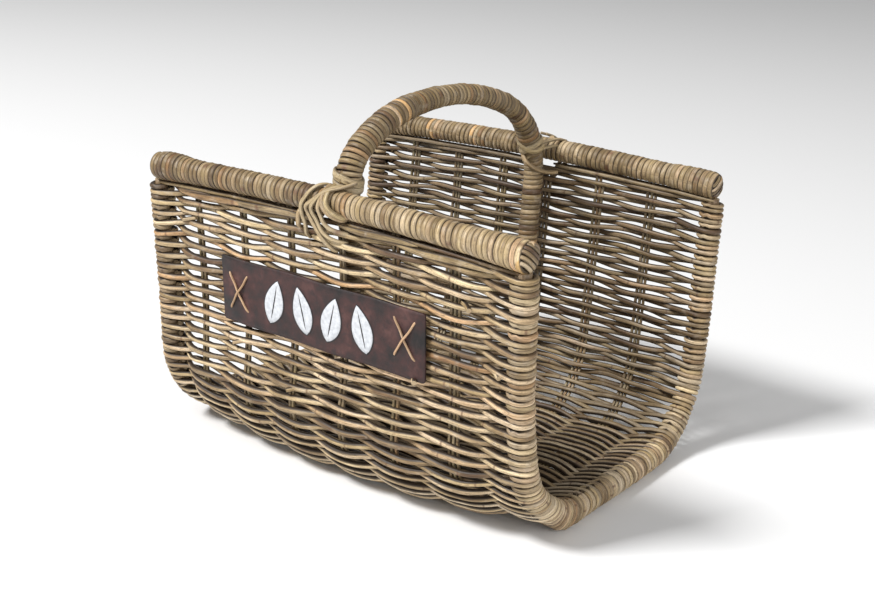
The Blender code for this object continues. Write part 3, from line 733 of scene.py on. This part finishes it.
def handle_swell(t):
    """Radius of the winding's middle: thick on the front shoulder, thinnest at the top."""
    top = (leg_front + leg_back) / 2 + 0.02
    far = np.array([0, leg_front - 0.03, leg_front + 0.01, leg_front + 0.09, top,
                    leg_back - 0.05, leg_back + 0.01, leg_back + 0.05, handle_length])
    extra = np.array([0, 0.0002, 0.0020, 0.0022, -0.0012, -0.0002, 0.0016, 0.0002, 0])
    return handle_radius + handle_cane + np.interp(t, far, extra)


BARE_END = 0.0015
sections = (("leg_front", BARE_END, leg_front, 0.0060, 0.0062),
            ("arch", leg_front, leg_back, 0.0058, 0.0084),
            ("leg_back", leg_back, handle_length - BARE_END, 0.0078, 0.0076))
for name, start, stop, first_pitch, last_pitch in sections:
    count = int(round((stop - start) / ((first_pitch + last_pitch) / 2)))
    pitches = np.linspace(first_pitch, last_pitch, count) * rng.uniform(0.9, 1.1, count)
    pitches = pitches * (stop - start) / pitches.sum()
    widths = np.interp(np.linspace(0, 1, 50), np.linspace(0, 1, count), pitches)
    spread = np.linspace(start, stop, 50)
    winding = wound(handle_axis, handle_out, handle_side, start, pitches,
                    handle_swell, lambda t: np.interp(t, spread, widths) * 0.58, handle_cane, 0.34, 0.08)
    add_piece(f"handle_winding_{name}", [winding], wrapping_cane, [f"handle_wrap_{name}"])


# ---- Lashings --------------------------------------------------------------------------
# The handle is tied to each rim with thin cane: two heavy turns round the handle where it
# meets the rim, crossed turns over the rim, and loose ends brought down into the weaving.

LASH_TONES = [(0.0, (0.28, 0.21, 0.12)), (0.35, (0.42, 0.34, 0.21)), (0.7, (0.50, 0.41, 0.27)),
              (1.0, (0.40, 0.35, 0.24))]
lashing_cane = cane_finish("lashing_cane", LASH_TONES, dirt_and_shade=0.55, knots=1.3)
COLLAR_DROP = {"front": 0.0135, "back": 0.0235}
COLLAR_TURNS = {"front": ((-0.0052, 0.0168, -0.0050), (0.0030, 0.0176, -0.0060)),
                "back": ((-0.0030, 0.0166, 0.0080), (0.0010, 0.0170, -0.0070))}
COLLAR_CANE = 0.0052


def through(points, count=48):
    """A smooth line through points: a Catmull-Rom spline, each span a cubic of its four neighbours."""
    p = np.asarray(points, float)
    p = np.concatenate([[2 * p[0] - p[1]], p, [2 * p[-1] - p[-2]]])
    t = np.linspace(0, len(p) - 3 - 1e-9, count)
    i = t.astype(int)
    f = (t - i)[:, None]
    a, b, c, d = p[i], p[i + 1], p[i + 2], p[i + 3]
    return 0.5 * (2 * b + (c - a) * f + (2 * a - 5 * b + 4 * c - d) * f ** 2
                  + (3 * b - a - 3 * c + d) * f ** 3)


for side, wall in WALLS:
    collar_low, collar_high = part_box(f"handle_collar_{wall}")
    middle_z = (collar_low.z + collar_high.z) / 2 - COLLAR_DROP[wall]
    near = handle_t < handle_length / 2
    picked = near if side < 0 else ~near
    centre_t = handle_t[picked][np.argmin(np.abs(handle_z[picked] - middle_z))]
    parts = []
    for shift, reach, tilt in COLLAR_TURNS[wall]:
        a = np.linspace(0, 2 * np.pi * 1.04, 44)
        t = centre_t + side * -shift * np.ones_like(a)
        spoke = np.cos(a)[:, None] * handle_out(t) + np.sin(a)[:, None] * handle_side(t)
        forward = np.cross(handle_side(t), handle_out(t))
        climb = side * tilt * np.sin(a) + 0.0015 * a / 6.3
        loop = handle_axis(t) + spoke * reach + forward * climb[:, None]
        parts.append(tubes(loop[None], spoke[None], COLLAR_CANE, rng.uniform(0.4, 0.6), sides=10,
                           flat=0.42, square=0.8))
    add_piece(f"handle_collar_turns_{wall}", parts, lashing_cane, [f"handle_collar_{wall}"])


def at_lash(side, points):
    """Points given as (along x from the handle, out from the rim's middle, down from it)."""
    p = np.asarray(points, float)
    x = handle_x + p[:, 0]
    lean = front_lean if side < 0 else back_lean
    y = side * (rim_y + p[:, 1] - lean * np.clip(p[:, 2], 0, None))
    return np.stack([x, y, rim_end_z + bow(x) - p[:, 2]], -1)


def strand_over(side, points, radius, tint):
    """One lashing strand through points, its flat side facing away from the rim's middle line."""
    line = through(at_lash(side, points))
    core_y = np.full(len(line), side * (rim_y - 0.004))
    core = np.stack([line[:, 0], core_y, np.minimum(line[:, 2], at_rim)], -1)
    return tubes(line[None], (line - core)[None], radius, tint, flat=0.66)


def mirrored(points):
    """The same strand on the other side of the handle."""
    return [(-x, out, down) for x, out, down in points]


front_rising = [
    [(0.024, -0.012, -0.026), (0.012, 0.001, -0.0205), (-0.003, 0.0125, -0.0155), (-0.018, 0.0195, -0.003),
     (-0.0285, 0.0195, 0.006), (-0.0275, 0.0165, 0.016), (-0.019, 0.0165, 0.029), (-0.008, 0.016, 0.043),
     (0.002, 0.012, 0.054), (0.006, 0.005, 0.059)],
    [(0.016, -0.014, -0.02), (0.004, 0.004, -0.02), (-0.008, 0.015, -0.012), (-0.0175, 0.0205, 0.001),
     (-0.0205, 0.019, 0.01), (-0.0155, 0.0165, 0.021), (-0.008, 0.0165, 0.033), (0.002, 0.015, 0.0405),
     (0.014, 0.011, 0.044), (0.022, 0.004, 0.0455)],
    [(0.008, -0.014, -0.018), (0.001, 0.006, -0.0185), (-0.0055, 0.0165, -0.009),
     (-0.0085, 0.0205, 0.003), (-0.007, 0.018, 0.014), (-0.0025, 0.017, 0.0235),
     (0.007, 0.0155, 0.029), (0.02, 0.0105, 0.032), (0.028, 0.004, 0.033)],
    [(-0.01, -0.016, -0.012), (-0.016, -0.002, -0.0195), (-0.024, 0.012, -0.015),
     (-0.0345, 0.0195, 0.002), (-0.0375, 0.0175, 0.016), (-0.035, 0.015, 0.03),
     (-0.0375, 0.011, 0.043), (-0.0385, 0.004, 0.05)],
]
front_falling = [
    [(-0.012, -0.006, -0.0185), (-0.007, 0.01, -0.015), (-0.0045, 0.0185, -0.006),
     (-0.001, 0.0205, 0.001), (0.005, 0.0205, 0.007), (0.0125, 0.0185, 0.0115),
     (0.019, 0.012, 0.015), (0.021, 0.004, 0.016)],
    [(-0.006, -0.006, -0.019), (-0.001, 0.01, -0.016), (0.002, 0.0185, -0.008),
     (0.005, 0.021, -0.002), (0.01, 0.0212, 0.0035), (0.0165, 0.019, 0.008),
     (0.0225, 0.013, 0.0115), (0.024, 0.005, 0.0125)],
    [(-0.0445, 0.003, 0.012), (-0.045, 0.0135, 0.017), (-0.0465, 0.0145, 0.026),
     (-0.048, 0.0125, 0.035), (-0.0485, 0.004, 0.039)],
]
back_rising = [
    [(0.03, 0.004, -0.015), (0.024, -0.012, -0.0185), (0.015, -0.04, -0.015),
     (0.004, -0.052, -0.006), (-0.008, -0.048, 0.003), (-0.015, -0.033, 0.012),
     (-0.02, -0.019, 0.0165), (-0.024, -0.006, 0.018)],
    [(0.03, 0.002, -0.006), (0.024, -0.014, -0.009), (0.0155, -0.038, -0.006),
     (0.005, -0.049, 0.003), (-0.007, -0.046, 0.012), (-0.016, -0.03, 0.018),
     (-0.024, -0.008, 0.02)],
    mirrored(front_rising[0][1:]),
    mirrored(front_rising[1][1:]),
]
back_falling = [
    [(-0.03, 0.004, -0.015), (-0.024, -0.012, -0.017), (-0.016, -0.038, -0.008),
     (-0.006, -0.052, 0.004), (0.005, -0.053, 0.015), (0.015, -0.038, 0.0245),
     (0.022, -0.02, 0.029), (0.026, -0.006, 0.03)],
    mirrored(front_falling[0]),
]
for wall, side, rising, falling in (("front", -1, front_rising, front_falling),
                                    ("back", 1, back_rising, back_falling)):
    for way, lines, thick, first in (("rising", rising, 0.0031, 0.52), ("falling", falling, 0.0038, 0.30)):
        parts = [strand_over(side, points, thick, first + 0.04 * k) for k, points in enumerate(lines)]
        name = f"lashing_{wall}_{way}"
        add_piece("rim_" + name, parts, lashing_cane, [name])


# ---- Plate -----------------------------------------------------------------------------
# A long piece of thick dark leather, waxed and mottled, lies on the front wall. Its edges are
# cut square and a little soft, and four painted leaves stand in a row on its middle.

plate_low, plate_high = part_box("plate")
plate_half = (plate_high.x - plate_low.x) / 2
plate_thick = 0.0034
plate_tall = (plate_high.z - plate_low.z) * math.hypot(1, front_lean) - plate_thick * front_lean
plate_s = (rim_end_z - (plate_low.z + plate_high.z) / 2) * math.hypot(1, front_lean)
plate_out = 0.0104
LEFT_EXTRA = 0.003


def plate_place(x, down, out):
    """A point on the plate: along x, down from its middle, and out from its back face."""
    return place(x, plate_s + down, plate_out + out + 0.0006 * np.sin(x * 31 + 1) * np.cos(down * 40))


def slab(outline, low, high, rings, edge):
    """A thin layer from an outline (n, 2) of (x, down), from low to high out of the plate's back.
    Each ring is the outline times a share, shrinking to the middle on both faces, and the edge
    between the faces is bevelled by edge."""
    n = len(outline)
    centre = outline.mean(0)
    shares = np.linspace(1, 0.0, rings)
    size = np.abs(outline - centre).max()
    inset = 1 - edge / size
    profile = ([(share * inset, low) for share in shares[::-1]] + [(1.0, low + edge), (1.0, high - edge)]
               + [(share * inset, high) for share in shares])
    profile = [(max(share, 0.0015), out) for share, out in profile]
    flat = np.array([centre + (outline - centre) * share for share, _ in profile])
    out = np.array([level for _, level in profile])[:, None]
    verts = plate_place(flat[..., 0], flat[..., 1], out)
    index = np.arange(len(profile) * n).reshape(-1, n)
    nxt = np.roll(index, -1, 1)
    quads = np.stack([index[:-1], index[1:], nxt[1:], nxt[:-1]], -1).reshape(-1, 4)
    i = np.arange(n // 2 - 1)
    ladder = np.stack([i, i + 1, n - 2 - i, n - 1 - i], -1)
    faces = np.concatenate([quads, index[0][ladder], index[-1][ladder[:, ::-1]]])
    uv = np.zeros((len(faces), 4, 2))
    return verts.reshape(-1, 3), faces, uv, np.zeros(len(profile) * n)


def rounded_box(half_x, half_y, corner):
    """A rectangle's outline with quarter circles at its corners and points along its sides."""
    turn = np.linspace(0, np.pi / 2, 6)
    sets = []
    for k, (sx, sy) in enumerate(((1, 1), (-1, 1), (-1, -1), (1, -1))):
        a = turn + k * np.pi / 2
        sets.append(np.stack([sx * (half_x - corner) + corner * np.cos(a),
                              sy * (half_y - corner) + corner * np.sin(a)], -1))
    outline = []
    for k in range(4):
        outline.append(sets[k])
        a, b = sets[k][-1], sets[(k + 1) % 4][0]
        count = 42 if k % 2 == 0 else 14
        outline.append(a + (b - a) * np.linspace(0, 1, count + 2)[1:-1, None])
    return np.concatenate(outline)


leather, tree, shader = blank_finish("leather")
spot = add(tree, "TexCoord").outputs["Object"]
cloud = noise(tree, spot, 26.0, detail=6.0, roughness=0.62)
fine = noise(tree, spot, 140.0, detail=4.0)
grain = add(tree, "TexVoronoi", {"Vector": spot, "Scale": 620.0}, feature="DISTANCE_TO_EDGE").outputs[0]
colour = ramp(tree, cloud, [(0.36, (0.004, 0.0016, 0.0016)), (0.46, (0.022, 0.008, 0.007)),
                            (0.56, (0.050, 0.017, 0.015)), (0.68, (0.098, 0.040, 0.034))])
colour = mixed(tree, graded(tree, fine, 0.50, 0.68, 0, 0.55), colour, (0.018, 0.011, 0.012, 1))
tree.links.new(colour, shader.inputs["Base Color"])
tree.links.new(graded(tree, cloud, 0.3, 0.7, 0.46, 0.62), shader.inputs["Roughness"])
height = maths(tree, "ADD", graded(tree, grain, 0, 0.16, 0, 0.5), fine)
bump = add(tree, "Bump", {"Height": height, "Strength": 0.35, "Distance": 0.0006})
tree.links.new(bump.outputs[0], shader.inputs["Normal"])

edge_wave = rounded_box(plate_half, plate_tall / 2, 0.0035)
edge_wave[edge_wave[:, 0] < 0, 0] -= LEFT_EXTRA
edge_wave[:, 1] += 0.0007 * np.sin(edge_wave[:, 0] * 47 + 0.6)
hide = slab(edge_wave, 0.0, plate_thick, 9, 0.0007)
add_piece("leather_plate", [hide], leather, ["plate"])


def painted(name, tones):
    """Worn paint: a base colour broken by noise in object space."""
    material, tree, shader = blank_finish(name)
    spot = add(tree, "TexCoord").outputs["Object"]
    wear = noise(tree, spot, 190.0, detail=5.0)
    tree.links.new(ramp(tree, wear, [(0.35, tones[0]), (0.62, tones[1])]), shader.inputs["Base Color"])
    shader.inputs["Roughness"].default_value = 0.5
    return material


white_paint = painted("white_paint", ((0.50, 0.52, 0.55), (0.66, 0.68, 0.71)))
dark_paint = painted("dark_paint", ((0.010, 0.008, 0.010), (0.022, 0.016, 0.018)))


def leaf(x, tall, wide, lean, grow=0.0):
    """A pointed leaf standing at x and turned by lean: half its width times sin(pi t^0.85)^0.85
    down its length t, all of it pushed outwards by grow."""
    t = np.linspace(0, 1, 20)
    half = wide / 2 * np.sin(np.pi * t ** 0.85) ** 0.85
    right = np.stack([half, tall * (0.5 - t)], -1)
    left = np.stack([-half[1:-1], tall * (0.5 - t[1:-1])], -1)[::-1]
    shape = np.concatenate([right, left])[::-1]
    away = unit(shape * np.array([tall / wide, 1.0]))
    shape = shape + away * grow
    turned = np.array([[math.cos(lean), math.sin(lean)], [-math.sin(lean), math.cos(lean)]])
    return shape @ turned + np.array([x, 0.0])


LEAF_TALL, LEAF_WIDE = 0.060, 0.031
VEIN_TALL, VEIN_WIDE = 0.046, 0.0017
LEAF_TILT = math.radians(14)
DARK_EDGE = 0.0018
for number, x in enumerate((-0.075, -0.027, 0.021, 0.069)):
    tilt = LEAF_TILT if number % 2 == 0 else -LEAF_TILT
    dark = leaf(x, LEAF_TALL, LEAF_WIDE, tilt, grow=DARK_EDGE)
    white = leaf(x, LEAF_TALL, LEAF_WIDE, tilt)
    vein = leaf(x, VEIN_TALL, VEIN_WIDE, tilt)
    for name, shape, low, high, rings, edge, paint in (
            ("leaf_shadow", dark, -0.0006, 0.0003, 4, 0.0001, dark_paint),
            ("leaf", white, -0.0004, 0.0008, 5, 0.0002, white_paint),
            ("leaf_vein", vein, 0.0004, 0.0011, 4, 0.0001, dark_paint)):
        coat = slab(shape, plate_thick + low, plate_thick + high, rings, edge)
        add_piece(f"{name}_{number + 1}", [coat], paint)


# ---- Stitches --------------------------------------------------------------------------
# A crossed stitch of waxed cord near each end of the plate goes through the leather and
# round the canes behind it, which is all that holds the plate on.

CORD_TONES = [(0.0, (0.40, 0.25, 0.15)), (1.0, (0.62, 0.43, 0.28))]
cord = cane_finish("cord", CORD_TONES, dirt_and_shade=0.25, knots=0.0)
CORD_RADIUS = 0.00145
for half, raised, sideways in (("left", -0.001, 0.0025), ("right", 0.005, -0.0065)):
    for way, sign, hop in (("rising", 1, 0.0030), ("falling", -1, 0.0012)):
        low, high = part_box(f"stitch_{half}_{way}")
        middle, reach = (low.x + high.x) / 2 + sideways, (high.x - low.x) / 2 + 0.0022
        rise = (high.z - low.z) / 2 - 0.001
        t = np.linspace(-1, 1, 27)
        out = plate_thick + 0.0011 + hop * np.exp(-(t * 3.4) ** 2) - 0.0042 * np.abs(t) ** 12
        bend = 0.0008 * np.sin(np.pi * t)
        down = -sign * t * rise - raised
        x = middle + reach * t
        cord_line = plate_place(x + bend * sign, down, out)
        facing = plate_place(x, down, out + 0.01) - cord_line
        stitch = tubes(cord_line[None], facing[None], CORD_RADIUS, rng.random(), sides=10)
        add_piece(f"crossed_stitch_{half}_{way}", [stitch], cord, [f"stitch_{half}_{way}"])


# ---- Studio ----------------------------------------------------------------------------
# A pale floor, an even pale sky, one broad soft lamp high on the left and a weaker one on
# the right, and the camera standing off the front right corner.

bpy.ops.mesh.primitive_plane_add(size=60, location=(0, 0, 0))
ground = bpy.context.object
ground.name = "studio_floor"
floor_paint, _, floor_shader = blank_finish("studio_floor")
floor_shader.inputs["Base Color"].default_value = (0.88, 0.88, 0.88, 1)
floor_shader.inputs["Roughness"].default_value = 0.9
ground.data.materials.append(floor_paint)

sky = bpy.data.worlds.new("studio_sky")
bpy.context.scene.world = sky
sky.use_nodes = True
glow = sky.node_tree.nodes["Background"]
glow.inputs["Color"].default_value = (1.0, 1.0, 1.0, 1)
glow.inputs["Strength"].default_value = 0.36


def lamp(name, where, aim, size, power):
    """A square soft lamp at a place, turned to shine on a point."""
    data = bpy.data.lights.new(name, "AREA")
    data.size = size
    data.energy = power
    piece = bpy.data.objects.new(name, data)
    piece.location = where
    direction = np.array(aim) - np.array(where)
    piece.rotation_euler = Vector(direction).to_track_quat("-Z", "Y").to_euler()
    bpy.context.scene.collection.objects.link(piece)


basket_middle = (0, 0, 0.2)
lamp("key_lamp", (-2.6, -4.9, 6.5), basket_middle, 1.8, 760)
lamp("side_lamp", (5.2, -2.4, 3.2), basket_middle, 2.8, 130)
bpy.context.scene.view_settings.view_transform = "Standard"

yaw, pitch, roll = (math.radians(angle) for angle in (-35.904, 18.686, 2.846))
sight = np.array([math.sin(yaw) * math.cos(pitch), math.cos(yaw) * math.cos(pitch), -math.sin(pitch)])
level = np.array([math.cos(yaw), -math.sin(yaw), 0.0])
upward = np.cross(level, sight)
camera_x = math.cos(roll) * level + math.sin(roll) * upward
camera_y = -math.sin(roll) * level + math.cos(roll) * upward
turned = Matrix([[*row] for row in np.stack([camera_x, camera_y, -sight], 1)])
camera_data = bpy.data.cameras.new("camera")
camera_data.lens = 52.6
camera_data.sensor_width = 36
camera = bpy.data.objects.new("camera", camera_data)
camera.matrix_world = Matrix.Translation((0.9812, -1.3453, 0.7636)) @ turned.to_4x4()
bpy.context.scene.collection.objects.link(camera)
bpy.context.scene.camera = camera
